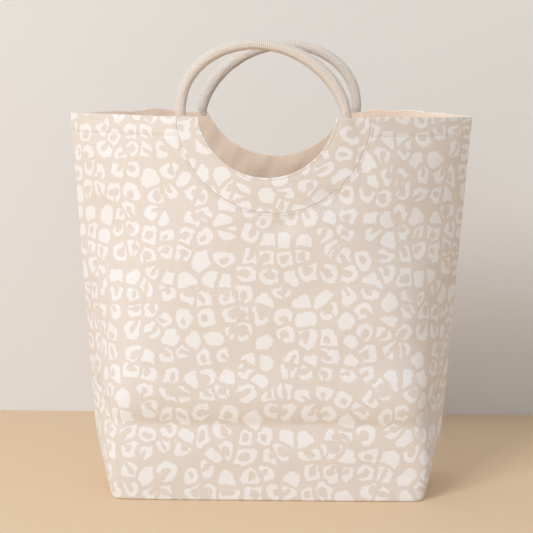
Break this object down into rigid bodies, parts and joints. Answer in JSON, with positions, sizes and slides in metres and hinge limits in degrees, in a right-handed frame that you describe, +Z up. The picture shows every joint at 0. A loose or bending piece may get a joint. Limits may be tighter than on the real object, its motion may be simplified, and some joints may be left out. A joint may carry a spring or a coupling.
{
  "type": "fabric storage bin",
  "caption": "Tote-shaped fabric bin with a boxed flat base, lens-shaped open mouth, curved hand holes with sewn yokes, and stiff arched rope handles.",
  "frame": {"origin": "middle of the base, on the surface the bin stands on", "axes": "+Z up; +X along the length of the base, to the right seen from the front; the front wall is at -Y"},
  "size_m": [0.3754, 0.1511, 0.4212],
  "materials": {
    "printed_canvas": "matte canvas with a pale spotted print",
    "lining": "plain cotton",
    "interlining": "stiff felted interlining",
    "rope": "ribbed woven cord sleeve",
    "cord_core": "cotton filler cord",
    "thread": "polyester sewing thread"
  },
  "bodies": {
    "root": {"front_panel": "printed_canvas", "front_yoke": "printed_canvas", "front_interlining": "interlining", "front_lining": "lining", "front_handle_tails": "rope", "front_yoke_topstitch": "thread", "front_hand_hole_stitch": "thread", "front_hem_stitch": "thread", "back_panel": "printed_canvas", "back_yoke": "printed_canvas", "back_interlining": "interlining", "back_lining": "lining", "back_handle_tails": "rope", "back_yoke_topstitch": "thread", "back_hand_hole_stitch": "thread", "back_hem_stitch": "thread", "side_seam_threads": "thread", "base_seam_thread": "thread"},
    "front_handle": {"front_handle_sleeve": "rope", "front_handle_core": "cord_core"},
    "back_handle": {"back_handle_sleeve": "rope", "back_handle_core": "cord_core"}
  },
  "joints": [
    {"name": "front_handle_fold", "type": "hinge", "parent": "root", "child": "front_handle", "pos_m": [-0.007, -0.0643, 0.35685], "axis": [-1, 0, 0], "range_deg": [-75, 50], "stiffness_Nm_per_rad": 0.06},
    {"name": "back_handle_fold", "type": "hinge", "parent": "root", "child": "back_handle", "pos_m": [0.007, 0.0643, 0.35685], "axis": [1, 0, 0], "range_deg": [-75, 50], "stiffness_Nm_per_rad": 0.06}
  ]
}
